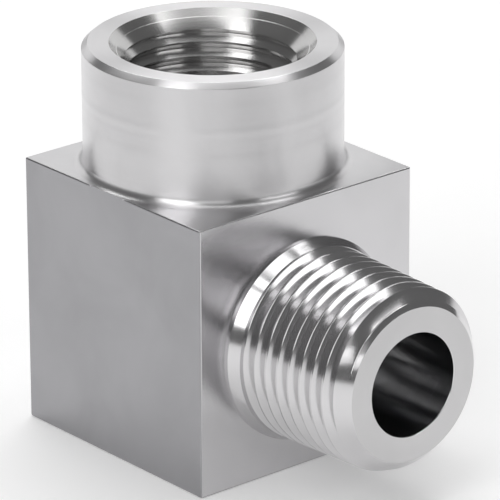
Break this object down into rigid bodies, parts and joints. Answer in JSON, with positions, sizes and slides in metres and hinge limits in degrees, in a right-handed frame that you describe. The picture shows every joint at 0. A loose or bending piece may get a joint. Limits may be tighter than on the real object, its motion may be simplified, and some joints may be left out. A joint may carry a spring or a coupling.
{
  "type": "hydraulic elbow adapter",
  "caption": "Square-block right-angle pipe elbow with a tapered female port in a round boss on top and a tapered male nipple at one side.",
  "frame": {"origin": "on the female port's axis, in the plane of the base", "axes": "+Z along the female port's axis, out of its mouth; +X along the male nipple, towards its tip"},
  "size_m": [0.0378, 0.024, 0.0358],
  "materials": {
    "body": "machined stainless steel, satin faces with faint turning and milling marks"
  },
  "bodies": {
    "root": {"elbow_body": "body"}
  },
  "joints": []
}
